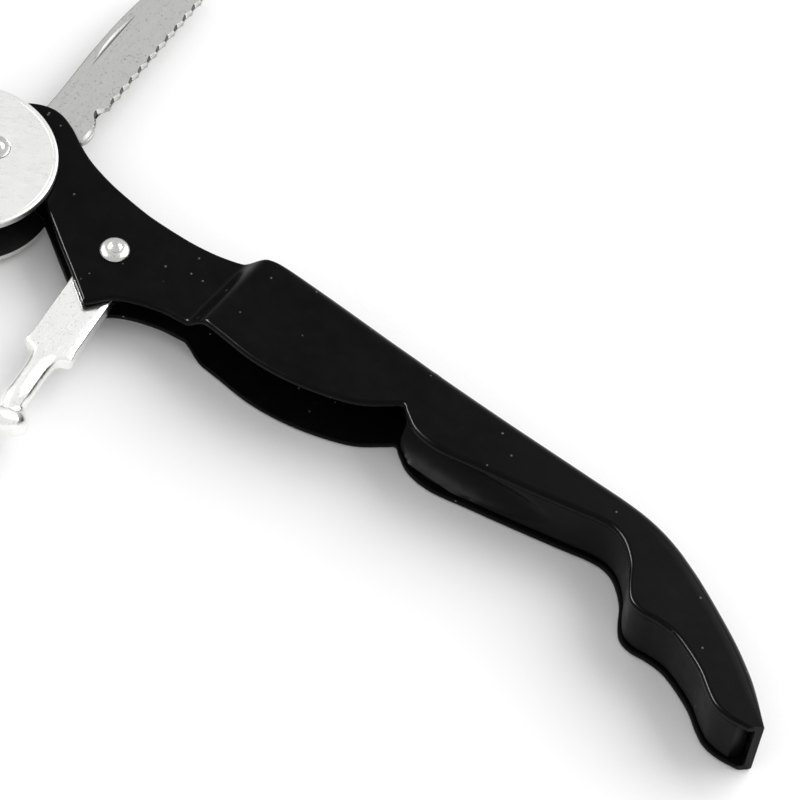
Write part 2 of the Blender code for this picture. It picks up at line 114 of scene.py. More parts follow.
# Ribs of the handle, head to tail: the back end and the belly end of each, in plan.
RIBS = (
    ((-55.8, 1.2), (-56.0, -3.4)),
    ((-55.0, 4.2), (-55.0, -5.6)),
    ((-53.2, 6.6), (-53.2, -7.0)),
    ((-50.8, 8.1), (-50.8, -7.5)),
    ((-48.5, 8.4), (-48.2, -6.9)),
    ((-46.0, 7.6), (-46.0, -5.2)),
    ((-43.8, 6.4), (-44.2, -3.8)),
    ((-42.0, 5.5), (-42.0, -3.6)),
    ((-39.8, 4.7), (-40.2, -4.6)),
    ((-36.5, 3.9), (-35.5, -7.7)),
    ((-33.0, 3.4), (-31.5, -10.3)),
    ((-30.5, 3.15), (-29.0, -12.0)),
    ((-29.2, 3.1), (-28.2, -12.4)),
    ((-27.6, 3.1), (-27.3, -11.5)),
    ((-25.8, 3.15), (-26.0, -9.8)),
    ((-23.2, 3.3), (-23.6, -8.4)),
    ((-20.4, 3.7), (-20.4, -7.3)),
    ((-18.0, 4.3), (-18.0, -6.9)),
    ((-16.0, 5.0), (-16.2, -6.7)),
    ((-13.6, 5.8), (-13.8, -6.7)),
    ((-11.5, 6.2), (-11.0, -6.9)),
    ((-6.0, 6.1), (-6.0, -7.3)),
    ((0.0, 5.9), (-0.8, -6.8)),
    ((5.0, 5.7), (4.2, -5.5)),
    ((9.0, 5.6), (8.0, -3.9)),
    ((11.4, 5.5), (10.8, -1.7)),
    ((12.4, 5.5), (12.0, -0.8)),
    ((13.4, 5.45), (13.2, -1.6)),
    ((15.5, 5.4), (15.5, -2.9)),
    ((19.0, 5.35), (19.0, -3.25)),
    ((24.0, 5.3), (24.0, -2.3)),
    ((30.0, 5.3), (30.0, -1.1)),
    ((36.5, 5.3), (36.5, 0.3)),
    ((41.0, 5.3), (40.0, 1.1)),
    ((44.3, 5.1), (42.2, 1.2)),
    ((47.0, 4.6), (44.3, 0.4)),
    ((49.6, 3.8), (46.6, -1.7)),
    ((51.8, 2.9), (48.2, -4.3)),
    ((53.6, 2.1), (49.5, -5.8)),
    ((55.4, 1.2), (51.3, -6.3)),
    ((57.4, 0.15), (53.5, -6.1)),
    ((59.4, -0.95), (56.0, -6.25)),
    ((61.6, -2.2), (58.7, -7.2)),
    ((63.8, -3.6), (61.5, -8.6)),
    ((66.2, -5.3), (63.8, -10.3)),
    ((68.3, -7.0), (65.6, -11.3)),
    ((70.2, -8.6), (67.8, -11.6)),
    ((71.8, -10.0), (70.4, -11.3)),
)
RAMP_START = 17.7
RAMP_END = 19.1
BACK_ROUND_START = 19.0
BACK_ROUND_END = 21.5
TAIL_ROUND_END = 44.0
INSERT_START = 26.4
INSERT_END = 46.3
RIM_HEIGHT = 0.4
INSERT_GAP = 0.2

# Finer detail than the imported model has
SCOOP_RADIUS = 4.15
SCOOP_END = 68.0
NO_SCOOP = -9.0  # a depth in front of the belly, which cuts nothing
SPINE_FLARE = 0.35
SPINE_END = 20.0
TOOTH_DEPTH = 0.28
TOOTH_GRIND = 0.55
TAB = (4.4, 7.3)
TAB_DEPTH = 0.62
TAB_THINNING = 0.32
CHOIL = (8.0, 11.1)
CHOIL_DEPTH = 0.7
CHOIL_GRIND = 1.2
GROUND_START = 7.5
GROUND_LIMIT = 1.4
NICK = (15.4, 25.4)
NICK_MIDDLE = 2.3
NICK_DEPTH = 0.4
SEAT_DEPTH = 0.6
DISC_STEPS = 130


# ---------------------------------------------------------------- meshes

def bridge(bm, rings, closed=False):
    """Joins rings of equal length into a tube, and caps its ends unless it is closed."""
    loops = [[bm.verts.new(point) for point in ring] for ring in rings]
    pairs = list(zip(loops, loops[1:]))
    if closed:
        pairs.append((loops[-1], loops[0]))
    for first, second in pairs:
        for index in range(len(first)):
            after = (index + 1) % len(first)
            bm.faces.new((first[index], first[after], second[after], second[index]))
    if not closed:
        bm.faces.new(loops[0][::-1])
        bm.faces.new(loops[-1])


def tube(rings, closed=False):
    bm = bmesh.new()
    bridge(bm, rings, closed)
    return bm


def circle(centre, radius, segments):
    points = []
    for step in range(segments):
        turn = math.tau * step / segments
        points.append((centre[0] + radius * math.cos(turn), centre[1] + radius * math.sin(turn)))
    return points


def arc(centre, radius, start, end, steps):
    """Points on an arc, its angles in degrees, both ends included."""
    points = []
    for step in range(steps + 1):
        turn = math.radians(start + (end - start) * step / steps)
        points.append((centre[0] + radius * math.cos(turn), centre[1] + radius * math.sin(turn)))
    return points


def prism(outline, low, high):
    return tube([[(x, y, z) for x, y in outline] for z in (low, high)])


def spindle(profile, segments=72):
    """A turned solid with flat ends: a stack of circles, each given as (radius, z)."""
    return tube([[(x, y, z) for x, y in circle((0.0, 0.0), r, segments)] for r, z in profile])


def lathe(profile, segments=72):
    """Turns a closed profile of (radius, z) about Z, leaving its bore open."""
    rings = []
    for step in range(segments):
        turn = math.tau * step / segments
        rings.append([(r * math.cos(turn), r * math.sin(turn), z) for r, z in profile])
    return tube(rings, closed=True)


def smooth_outline(points, rounds):
    """Corner cutting of a closed outline."""
    for _ in range(rounds):
        cut = []
        for index, (x, y) in enumerate(points):
            after = points[(index + 1) % len(points)]
            cut.append((0.75 * x + 0.25 * after[0], 0.75 * y + 0.25 * after[1]))
            cut.append((0.25 * x + 0.75 * after[0], 0.25 * y + 0.75 * after[1]))
        points = cut
    return points


def inset(outline, distance):
    """The outline moved inwards; it runs anticlockwise."""
    moved = []
    for index, (x, y) in enumerate(outline):
        before = outline[index - 1]
        after = outline[(index + 1) % len(outline)]
        a = Vector((x - before[0], y - before[1])).normalized()
        b = Vector((after[0] - x, after[1] - y)).normalized()
        normal = Vector((-a.y - b.y, a.x + b.x)).normalized()
        stretch = 1.0 / max(0.5, normal.dot(Vector((-a.y, a.x))))
        moved.append((x + normal.x * distance * stretch, y + normal.y * distance * stretch))
    return moved


def plate(outline, half, profile, wide=None):
    """Plate of an outline whose edge follows a profile of (inset, depth below the face).

    Only the first wide points of the outline take the full insets; the corners past them are too tight.
    """
    levels = [(step, half - depth) for step, depth in profile]
    levels = [(step, -z) for step, z in levels] + levels[::-1]
    rings = []
    cut = len(outline) if wide is None else wide
    for step, z in levels:
        far = inset(outline, step)
        near = inset(outline, min(step, 0.3 + 0.1 * step))
        rings.append([(x, y, z) for x, y in far[:cut] + near[cut:]])
    return tube(rings)


def round_edge(radius, steps=4):
    """Edge profile for plate(): a support ring, then a quarter round down to the side."""
    profile = [(radius + 0.12, 0.0)]
    for step in range(steps + 1):
        turn = 0.5 * math.pi * step / steps
        profile.append((radius * (1 - math.sin(turn)), radius * (1 - math.cos(turn))))
    return profile


def object_from(name, bm, pivot=(0.0, 0.0, 0.0), angle=0.0):
    bmesh.ops.scale(bm, vec=(MM, MM, MM), verts=bm.verts)
    bmesh.ops.recalc_face_normals(bm, faces=bm.faces)
    mesh = bpy.data.meshes.new(name)
    bm.to_mesh(mesh)
    bm.free()
    obj = bpy.data.objects.new(name + PIECE, mesh)
    bpy.context.scene.collection.objects.link(obj)
    obj.location = [MM * value for value in pivot]
    obj.rotation_euler.z = math.radians(angle)
    return obj


def carve(obj, cutters):
    """Cuts the cutters out of the object and deletes them."""
    bpy.context.view_layer.update()
    for cutter in cutters:
        modifier = obj.modifiers.new("cut", "BOOLEAN")
        modifier.operation = "DIFFERENCE"
        modifier.solver = "EXACT"
        modifier.use_self = True
        modifier.object = cutter
    graph = bpy.context.evaluated_depsgraph_get()
    mesh = bpy.data.meshes.new_from_object(obj.evaluated_get(graph))
    obj.modifiers.clear()
    obj.data = mesh
    for cutter in cutters:
        bpy.data.objects.remove(cutter, do_unlink=True)


def bore(pivot):
    """Cutter for a rivet's hole."""
    return object_from("cutter", prism(circle(pivot, PIN_RADIUS + CLEARANCE, 48), *THROUGH))


def dress(obj, body, look, sharp=30):
    """Gives the piece its look, and puts it on its body in place of its CAD node."""
    node = obj.name.removesuffix(PIECE)
    obj.data.materials.clear()
    obj.data.materials.append(look)
    obj.data.shade_smooth()
    obj.data.set_sharp_from_angle(angle=math.radians(sharp))
    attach(obj, body)
    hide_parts(node)


def tint(obj, look, chosen):
    """Gives another look to the faces whose centre, in millimetres, and normal are chosen."""
    obj.data.materials.append(look)
    for face in obj.data.polygons:
        if chosen(face.center / MM, face.normal):
            face.material_index = len(obj.data.materials) - 1


def share_of(span, value):
    return (value - span[0]) / (span[1] - span[0])


def blend(value, start, end):
    """A smooth step from 0 at start to 1 at end."""
    t = min(max((value - start) / (end - start), 0.0), 1.0)
    return t * t * (3 - 2 * t)


# ---------------------------------------------------------------- materials

class Nodes:
    """A material's node tree, with the few nodes that the finishes share."""

    def __init__(self, name):
        self.material = bpy.data.materials.new(name)
        self.material.use_nodes = True
        self.tree = self.material.node_tree
        self.shader = self.tree.nodes["Principled BSDF"]
        place = self.tree.nodes.new("ShaderNodeTexCoord")
        self.vector = self.mapped(place.outputs["Object"], (1 / MM, 1 / MM, 1 / MM))

    def link(self, output, target):
        self.tree.links.new(output, target)

    def mapped(self, vector, scale):
        node = self.tree.nodes.new("ShaderNodeMapping")
        node.inputs["Scale"].default_value = scale
        self.link(vector, node.inputs["Vector"])
        return node.outputs["Vector"]

    def noise(self, scale, detail, roughness=0.55, vector=None):
        node = self.tree.nodes.new("ShaderNodeTexNoise")
        node.inputs["Scale"].default_value = scale
        node.inputs["Detail"].default_value = detail
        node.inputs["Roughness"].default_value = roughness
        self.link(vector or self.vector, node.inputs["Vector"])
        return node.outputs["Fac"]

    def cells(self, scale):
        node = self.tree.nodes.new("ShaderNodeTexVoronoi")
        node.inputs["Scale"].default_value = scale
        self.link(self.vector, node.inputs["Vector"])
        return node

    def span(self, value, low, high, to_low, to_high):
        """The value carried from one range to another, clamped."""
        node = self.tree.nodes.new("ShaderNodeMapRange")
        node.inputs["From Min"].default_value = low
        node.inputs["From Max"].default_value = high
        node.inputs["To Min"].default_value = to_low
        node.inputs["To Max"].default_value = to_high
        self.link(value, node.inputs["Value"])
        return node.outputs["Result"]

    def math(self, operation, a, b):
        node = self.tree.nodes.new("ShaderNodeMath")
        node.operation = operation
        for socket, value in zip(node.inputs, (a, b)):
            if isinstance(value, (int, float)):
                socket.default_value = value
            else:
                self.link(value, socket)
        return node.outputs["Value"]

    def mix(self, factor, a, b):
        node = self.tree.nodes.new("ShaderNodeMix")
        node.data_type = "RGBA"
        blend_factor, first, second = (node.inputs[index] for index in (0, 6, 7))
        self.link(factor, blend_factor)
        for socket, value in ((first, a), (second, b)):
            if isinstance(value, tuple):
                socket.default_value = (*value, 1.0)
            else:
                self.link(value, socket)
        return node.outputs[2]

    def bump(self, heights):
        """Chains (height, strength, distance in mm) into the shader's normal."""
        normal = None
        for height, strength, distance in heights:
            node = self.tree.nodes.new("ShaderNodeBump")
            node.inputs["Strength"].default_value = strength
            node.inputs["Distance"].default_value = distance * MM
            self.link(height, node.inputs["Height"])
            if normal:
                self.link(normal, node.inputs["Normal"])
            normal = node.outputs["Normal"]
        self.link(normal, self.shader.inputs["Normal"])

    def constant(self, socket, value):
        self.shader.inputs[socket].default_value = value


def black_finish(name, colour, roughness, specular, peel, specks):
    """Semi-matte black: faint unevenness of the coat, orange peel, and a few specks of dust."""
    n = Nodes(name)
    n.constant("Metallic", 0.0)
    n.constant("Specular IOR Level", specular)
    dust_colour = (0.10, 0.10, 0.10)
    cloud = n.noise(0.12, 4.0)
    lighter = tuple(1.6 * value for value in colour)
    base = n.mix(n.span(cloud, 0.35, 0.7, 0.0, 1.0), colour, lighter)
    cells = n.cells(0.42)
    speck = n.span(cells.outputs["Distance"], 0.035, 0.075, 1.0, 0.0)
    keep = n.span(cells.outputs["Color"], specks, specks - 0.02, 0.0, 1.0)
    dust = n.math("MULTIPLY", speck, keep)
    base = n.mix(dust, base, dust_colour)
    n.link(base, n.shader.inputs["Base Color"])
    rough = n.span(n.noise(0.5, 5.0), 0.3, 0.7, roughness - 0.05, roughness + 0.06)
    n.link(n.math("ADD", rough, n.math("MULTIPLY", dust, 0.3)), n.shader.inputs["Roughness"])
    n.bump(((n.noise(2.2, 3.0), 0.16, peel), (n.noise(14.0, 2.0), 0.10, 0.4 * peel)))
    return n.material


def metal_finish(name, colour, roughness, grain, mottle, stains, dents=0.0):
    """Worked steel: drawn grain along one direction, cloudy polish, small stains and shallow dents."""
    n = Nodes(name)
    n.constant("Metallic", 1.0)
    cloud = n.noise(0.35, 5.0, 0.6)
    dark = tuple(value * (1.0 - mottle) for value in colour)
    base = n.mix(n.span(cloud, 0.3, 0.7, 0.0, 1.0), dark, colour)
    pits = n.noise(3.1, 6.0, 0.7)
    stained = tuple(value * (1.0 - stains) for value in colour)
    base = n.mix(n.span(pits, 0.57, 0.66, 0.0, 1.0), base, stained)
    n.link(base, n.shader.inputs["Base Color"])
    drawn = n.noise(1.0, 4.0, 0.7, n.mapped(n.vector, (0.35, 9.0, 9.0)))
    fine = n.span(drawn, 0.3, 0.7, -0.05, 0.06)
    rough = n.math("ADD", n.span(cloud, 0.3, 0.7, roughness + 0.05, roughness - 0.04), fine)
    n.link(rough, n.shader.inputs["Roughness"])
    heights = [(drawn, grain, 0.02), (n.noise(7.0, 4.0, 0.6), 0.5 * grain, 0.02)]
    if dents:
        cells = n.cells(0.55)
        ring = n.span(cells.outputs["Distance"], 0.40, 0.50, 0.0, 1.0)
        other = n.span(cells.outputs["Distance"], 0.50, 0.60, 1.0, 0.0)
        heights.append((n.math("MULTIPLY", ring, other), dents, 0.05))
        heights.append((n.noise(0.9, 3.0, 0.5), dents, 0.12))
    n.bump(heights)
    return n.material


LOOKS = {
    "coat": black_finish("black_coat", (0.0019, 0.0019, 0.0020), 0.24, 0.045, 0.015, 0.85),
    "plastic": black_finish("black_moulding", (0.0020, 0.0020, 0.0022), 0.38, 0.055, 0.02, 0.40),
    "worm": metal_finish("bright_plate", (1.0, 1.0, 0.99), 0.19, 0.22, 0.10, 0.30, 0.14),
    "lever": metal_finish("lever_satin", (0.80, 0.80, 0.79), 0.30, 0.06, 0.10, 0.18),
    "blade": metal_finish("blade_satin", (0.47, 0.47, 0.46), 0.34, 0.12, 0.14, 0.55),
    # painted shade: near-black steel for the knife's spine bevel, nail-nick wall and right-facing edge
    # facets
    "ground": metal_finish("ground_edge", (0.10, 0.10, 0.10), 0.30, 0.20, 0.40, 0.30),
    # painted shade: near-black steel for the inner faces of the lever's cheeks, where shade falls between
    # them
    "painted_shade": metal_finish("lever_inside", (0.10, 0.10, 0.10), 0.42, 0.10, 0.40, 0.30),
    "rivet": metal_finish("rivet_steel", (0.62, 0.62, 0.61), 0.24, 0.25, 0.20, 0.50),
    "grey": metal_finish("washer_steel", (0.52, 0.52, 0.51), 0.38, 0.20, 0.15, 0.30),
}


# ---------------------------------------------------------------- handle

def curve_value(values, place):
    """Catmull-Rom value at a fractional index of a list of numbers."""
    last = len(values) - 1
    index = min(int(place), last - 1)
    t = place - index
    a, b, c, d = (values[min(max(index + k, 0), last)] for k in (-1, 0, 1, 2))
    return b + 0.5 * t * (c - a + t * (2 * a - 5 * b + 4 * c - d + t * (3 * (b - c) + d - a)))


def rib_at(place):
    """Back end, belly end, length and unit direction of the rib at a fractional index."""
    back = [curve_value([rib[0][axis] for rib in RIBS], place) for axis in (0, 1)]
    belly = [curve_value([rib[1][axis] for rib in RIBS], place) for axis in (0, 1)]
    length = math.dist(back, belly)
    along = [(back[axis] - belly[axis]) / length for axis in (0, 1)]
    return belly, length, along


def stations(first, last, per_rib):
    """Evenly spaced fractional indices of the ribs."""
    count = round((last - first) * per_rib)
    return [first + (last - first) * step / count for step in range(count + 1)]


def to_plan(belly, along, profile):
    """A section's (distance from the belly, height) points, set into the model."""
    return [(belly[0] + t * along[0], belly[1] + t * along[1], MID + z) for t, z in profile]


def section_at(place):
    """Belly end, length and direction of a cross-section, and how much its back edges are rounded on."""
    belly, length, along = rib_at(place)
    growth = (BACK_RADIUS - HEAD_EDGE_RADIUS) * blend(place, BACK_ROUND_START, BACK_ROUND_END)
    growth *= 1.0 - blend(place, TAIL_ROUND_END, len(RIBS) - 1.0)
    return belly, length + BACK_ALLOWANCE * growth, along, growth


def channel_section(place):
    """One cross-section of the handle: a U of sheet steel with rounded rims, open to the belly."""
    rim_out, rim_in, support = 0.48, 0.2, 0.12
    belly, length, along, growth = section_at(place)
    half = (HEAD_THICKNESS + (BODY_THICKNESS - HEAD_THICKNESS) * blend(place, RAMP_START, RAMP_END)) / 2
    radius = min(HEAD_EDGE_RADIUS + growth, length - rim_out - 2 * support)
    inner = max(radius - SHEET, 0.12)
    inner_half = half - SHEET
    inner_back = length - SHEET
    side = arc((rim_in, -inner_half - rim_in), rim_in, 90, 180, 3)
    side += arc((rim_out, rim_out - half), rim_out, 180, 270, 5)
    side += [(rim_out + support, -half), (length - radius - support, -half)]
    side += arc((length - radius, radius - half), radius, 270, 360, 9)
    inside = [(rim_in + support, inner_half), (max(inner_back - inner - support, 0.4), inner_half)]
    inside += arc((inner_back - inner, inner_half - inner), inner, 90, 0, 5)
    inside += [(t, -z) for t, z in reversed(inside)]
    profile = side + [(t, -z) for t, z in reversed(side)] + inside
    return to_plan(belly, along, profile)


def bevel_caps(bm, width, segments):
    """Rounds the rims of a tube's two caps, the only faces with more than four corners."""
    caps = [face for face in bm.faces if len(face.verts) > 4]
    edges = list({edge for face in caps for edge in face.edges})
    bmesh.ops.bevel(
        bm, geom=edges, offset=width, segments=segments, profile=0.5, affect="EDGES", clamp_overlap=True
    )


def handle_shell():
    bm = tube([channel_section(place) for place in stations(0.0, len(RIBS) - 1.0, 6)])
    bevel_caps(bm, width=0.42, segments=4)
    shell = object_from("handle_shell", bm)
    half = SLOT_WIDTH / 2
    end = arc((SLOT_END_X - half, 0.0), half, -90, 90, 16)
    side = [(SLOT_START_X, -half), *end, (SLOT_START_X, half)]
    slot = tube([[(x, y, MID + z) for x, z in side] for y in SLOT_DEPTH])
    bores = [bore(pivot) for pivot in (WORM_PIVOT, LEVER_PIVOT, KNIFE_PIVOT)]
    carve(shell, [object_from("cutter", slot), *bores])
    dress(shell, "handle", LOOKS["coat"])


def scoop_depth(belly, along, z):
    """How far from the belly line the scoop for the folded worm reaches, at a height z."""
    turn = math.radians(WORM_FOLDED)
    forward = (math.cos(turn), math.sin(turn))
    normal = (-forward[1], forward[0])
    offset = (belly[0] - WORM_PIVOT[0], belly[1] - WORM_PIVOT[1])
    if offset[0] * forward[0] + offset[1] * forward[1] > SCOOP_END:
        return NO_SCOOP
    reach = math.sqrt(max(SCOOP_RADIUS**2 - z * z, 0.0))
    away = offset[0] * normal[0] + offset[1] * normal[1]
    return (reach - away) / (along[0] * normal[0] + along[1] * normal[1])


def insert_section(place):
    """One cross-section of the insert, its belly side dished where the scoop runs."""
    belly, length, along, _ = section_at(place)
    half = MID - SHEET - INSERT_GAP
    rear = length - SHEET - INSERT_GAP
    depth = rear - RIM_HEIGHT
    corner = min(0.5, 0.4 * depth)
    edge = min(BACK_RADIUS - SHEET, 0.45 * depth)
    front = []
    count = 36
    softness = 0.006  # how gradually the scoop's side meets the belly
    for step in range(count + 1):
        z = -half + 2 * half * step / count
        over = max(abs(z) - (half - corner), 0.0)
        plain = RIM_HEIGHT + corner - math.sqrt(max(corner**2 - over**2, 0.0))
        scoop = scoop_depth(belly, along, z)
        t = 0.5 * (plain + scoop + math.sqrt((plain - scoop) ** 2 + softness))
        front.append((min(t, rear - edge - 0.05), z))
    back = arc((rear - edge, half - edge), edge, 90, 0, 6)
    back += [(t, -z) for t, z in reversed(back)]
    return to_plan(belly, along, front + back)


def grip_insert():
    bm = tube([insert_section(place) for place in stations(INSERT_START, INSERT_END, 8)])
    bevel_caps(bm, width=0.2, segments=2)
    insert = object_from("grip_insert", bm)
    dress(insert, "handle", LOOKS["plastic"])


# ---------------------------------------------------------------- worm

def frame_ring(x, y, z, tangent, width, thickness, power, segments):
    """Superellipse across a path that runs mostly along +X."""
    length = math.hypot(*tangent)
    t = [value / length for value in tangent]
    size = math.hypot(t[0], t[1])
    side = (-t[1] / size, t[0] / size, 0.0)
    up = (t[1] * side[2] - t[2] * side[1], t[2] * side[0] - t[0] * side[2], t[0] * side[1] - t[1] * side[0])
    ring = []
    for step in range(segments):
        turn = math.tau * (step + 0.5) / segments
        c, s = math.cos(turn), math.sin(turn)
        a = width * math.copysign(abs(c) ** (2 / power), c)
        b = thickness * math.copysign(abs(s) ** (2 / power), s)
        ring.append((x + a * side[0] + b * up[0], y + a * side[1] + b * up[1], z + b * up[2]))
    return ring


def worm_path():
    """Stations (x, y, z, half width, half thickness, squareness) from the tang to the point."""
    shapes = []
    w, h = TANG_HALF_WIDTH, TANG_HALF_THICKNESS
    for x in (-3.08, -3.0, -2.8, -2.4, -1.8, -1.0, 0.0):
        shapes.append((x, 0.0, 0.0, math.sqrt(w * w - x * x), h, 9.0))
    end = TANG_LENGTH
    for x, width, height, power in (
        (6.0, w, h, 9.0), (end - 1.6, w, h, 9.0), (end - 0.9, w + 0.14, h, 9.0),
        (end - 0.35, w + 0.2, h, 8.0), (end - 0.1, w + 0.05, h, 7.0), (end + 0.1, w - 0.4, h, 5.0),
        (end + 0.35, w - 0.95, h + 0.02, 4.0), (end + 0.7, w - 1.25, h + 0.08, 3.2),
        (end + 1.2, w - 1.4, h + 0.2, 2.6), (end + 2.0, 1.62, 1.5, 2.2),
        (end + 3.0, WIRE_RADIUS, WIRE_RADIUS, 2.0), (end + 4.8, WIRE_RADIUS, WIRE_RADIUS, 2.0),
    ):
        shapes.append((x, 0.0, 0.0, width, height, power))
    per_turn = 40
    total = round(COIL_TURNS * per_turn)
    point = 0.85 * per_turn
    for step in range(total + 1):
        turns = step / per_turn
        along = turns * COIL_PITCH
        radius = COIL_RADIUS * blend(along, 0.0, NECK_LENGTH)
        angle = math.radians(COIL_FIRST_ANGLE) + math.tau * turns
        wire = WIRE_RADIUS * min(1.0, 0.06 + 0.94 * math.sqrt((total - step) / point))
        y, z = radius * math.cos(angle), radius * math.sin(angle)
        shapes.append((COIL_START + along, y, z, wire, wire, 2.0))
    return shapes


def worm():
    path = worm_path()
    rings = []
    for index, (x, y, z, width, thickness, power) in enumerate(path):
        before, after = path[max(index - 1, 0)], path[min(index + 1, len(path) - 1)]
        tangent = [after[axis] - before[axis] for axis in range(3)]
        rings.append(frame_ring(x, y, z, tangent, width, thickness, power, 40))
    screw = object_from("worm", tube(rings), (*WORM_PIVOT, MID), WORM_OPEN)
    carve(screw, [bore(WORM_PIVOT)])
    dress(screw, "worm", LOOKS["worm"], 40)


# ---------------------------------------------------------------- knife

def spine_height(x):
    """Distance of the blade's spine from its middle line."""
    edge = -BLADE_HALF_WIDTH
    full = BLADE_HALF_WIDTH + SPINE_FLARE * blend(x, 8.0, 18.0)
    if x <= SPINE_END:
        return full
    sine = min(share_of((SPINE_END, BLADE_TIP), x) ** (1 / 0.9), 1.0)
    return edge + 0.4 + (full - edge - 0.4) * math.sqrt(1 - sine * sine) ** 0.72


def edge_shape(x):
    """Where the upper face ends, the outline's own edge, and whether it is ground, at x."""
    edge = -BLADE_HALF_WIDTH
    if x < TAB[0]:
        return edge, edge, 0.0
    if x < TAB[1]:
        lobe = math.sin(math.pi * share_of(TAB, x)) ** 0.35
        return edge + 0.05, edge - TAB_DEPTH * lobe, 0.0
    if CHOIL[0] < x < CHOIL[1]:
        dip = math.sin(math.pi * share_of(CHOIL, x)) ** 0.8
        return edge + CHOIL_GRIND * dip, edge + CHOIL_DEPTH * dip, 1.0
    last = FIRST_TOOTH + TOOTH_COUNT * TOOTH_PITCH
    if FIRST_TOOTH <= x <= last:
        bite = abs(math.sin(math.pi * (x - FIRST_TOOTH) / TOOTH_PITCH)) ** 0.9
        return edge + TOOTH_GRIND * bite, edge + TOOTH_DEPTH * bite, 1.0
    return edge, edge, 1.0


def blade_ring(x):
    """Section across the blade at x: a flat bar with a ground edge, or with a thinned tab."""
    half = BLADE_THICKNESS / 2
    if x < 0:
        reach = math.sqrt(max(BLADE_HALF_WIDTH**2 - x * x, 0.0))
        spine, face_end, edge, ground = reach, -reach, -reach, 0.0
    else:
        spine = spine_height(x)
        face_end, edge, ground = edge_shape(x)
    soft = min(0.12, 0.2 * (spine - edge))
    tab = TAB[0] < x < TAB[1]
    tab_face = half - TAB_THINNING
    top = [(spine - soft, half), (spine, half - soft), (spine, soft - half), (spine - soft, -half)]
    shelf = min(face_end - 0.22, edge + 0.5 * (face_end - edge)) if tab else 0.5 * (face_end + edge)
    middle = tab_face if tab else half - 0.5 * ground * min(1.0, 2.2 * (face_end - edge))
    lip = tab_face if tab else half - ground * min(0.86, 1.75 * (face_end - edge))
    lower = [(edge + soft, -half), (edge, soft - half), (edge, max(lip - soft, 2 * soft - half))]
    lower += [(edge + soft, lip), (shelf, middle), (max(face_end, edge + 2 * soft), half)]
    keep = max(face_end, edge + 2 * soft) + 0.1
    lower.append((min(keep, spine - 2 * soft), half))
    return [(x, y, z) for y, z in top + lower]


def nail_nick():
    """Cutter for the lens-shaped nail nick, steep towards the edge and sloped towards the spine."""
    rings = []
    start, end = NICK
    wide, steep = 0.55, 0.14
    face = BLADE_THICKNESS / 2
    top = face + 0.3
    count = 32
    for step in range(count + 1):
        share = 2 * step / count - 1
        lens = max(1 - share * share, 0.004)
        x = start + (end - start) * step / count
        y = NICK_MIDDLE + 0.12 * (1 - share * share)
        rings.append([
            (x, y - steep * lens, top),
            (x, y - steep * lens, face + 0.02),
            (x, y + 0.10 * lens, face - NICK_DEPTH * lens),
            (x, y + wide * lens, face + 0.02),
            (x, y + wide * lens, top),
        ])
    return object_from("cutter", tube(rings), (*KNIFE_PIVOT, MID), KNIFE_OPEN)


def in_nick(centre):
    """Whether a face's centre lies in the nail nick."""
    return centre.x > NICK[0] and abs(centre.y - NICK_MIDDLE) < 0.6


def on_ground_edge(centre, normal):
    """Whether a face belongs to the ground facets of the cutting edge."""
    low = centre.y < GROUND_LIMIT - BLADE_HALF_WIDTH
    return centre.x > GROUND_START and low and 0.05 < normal.z < 0.94


def knife_blade():
    radius = BLADE_HALF_WIDTH
    places = [-radius * math.cos(0.5 * math.pi * step / 10) for step in range(10)]
    places[0] = -0.995 * radius
    steps = 420
    places += [BLADE_TIP * 0.9965 * step / steps for step in range(steps + 1)]
    bar = tube([blade_ring(x) for x in places])
    blade = object_from("knife_blade", bar, (*KNIFE_PIVOT, MID), KNIFE_OPEN)
    carve(blade, [bore(KNIFE_PIVOT), nail_nick()])
    dress(blade, "knife", LOOKS["blade"], 22)
    # Painted shade: the spine bevel, the nail nick's wall and the right-facing edge facets take near-black
    # steel.
    dark, painted_highlight_look = LOOKS["ground"], LOOKS["lever"]
    tint(blade, dark, lambda c, n: c.x > 3.0 and n.y > 0.3 and c.y > 2.9 and abs(n.z) < 0.95)
    tint(blade, dark, lambda c, n: in_nick(c) and 0.05 < n.z < 0.99 and n.y > 0.1)
    tint(blade, dark, lambda c, n: on_ground_edge(c, n) and n.x > -0.12)
    # Painted highlight: the left-facing edge facets take the lever's lighter steel.
    tint(blade, painted_highlight_look, lambda c, n: on_ground_edge(c, n) and n.x <= -0.12)


# ---------------------------------------------------------------- lever

def lever_place(x):
    """Plan position of a point on the open lever's middle line, x along it."""
    turn = math.radians(LEVER_OPEN)
    return LEVER_PIVOT[0] + x * math.cos(turn), LEVER_PIVOT[1] + x * math.sin(turn)


def upper_arm_outline():
    points = [(14.5, -5.4), (20.0, -4.9), (25.0, -4.6)]
    points += arc((LINK_PIVOT_X, 0.0), 4.6, -80, 30, 14)
    points += [(31.2, 4.6), (30.4, 7.4), (29.2, 8.0), (28.2, 7.6), (27.6, 5.4), (26.6, 4.8), (25.6, 5.4)]
    points += [(23.0, 6.2), (18.0, 6.6), (14.5, 7.3)]
    return arc(DISC_CENTRE, DISC_RADIUS, 38, 322, DISC_STEPS) + smooth_outline(points, 1)[1:-3]


def lower_arm_outline():
    points = arc((0.0, 0.0), 3.9, 80, 270, 24)
    points += [(6.0, -4.2), (14.0, -4.6), (22.0, -4.4), (28.0, -3.4), (31.6, -1.4), (33.4, 1.2)]
    points += [(34.2, 4.2), (34.0, 6.8), (33.2, 7.6), (32.2, 7.2), (31.4, 4.8), (30.2, 4.0), (28.8, 4.4)]
    points += [(25.0, 4.6), (16.0, 4.4), (8.0, 4.1)]
    return smooth_outline(points, 2)


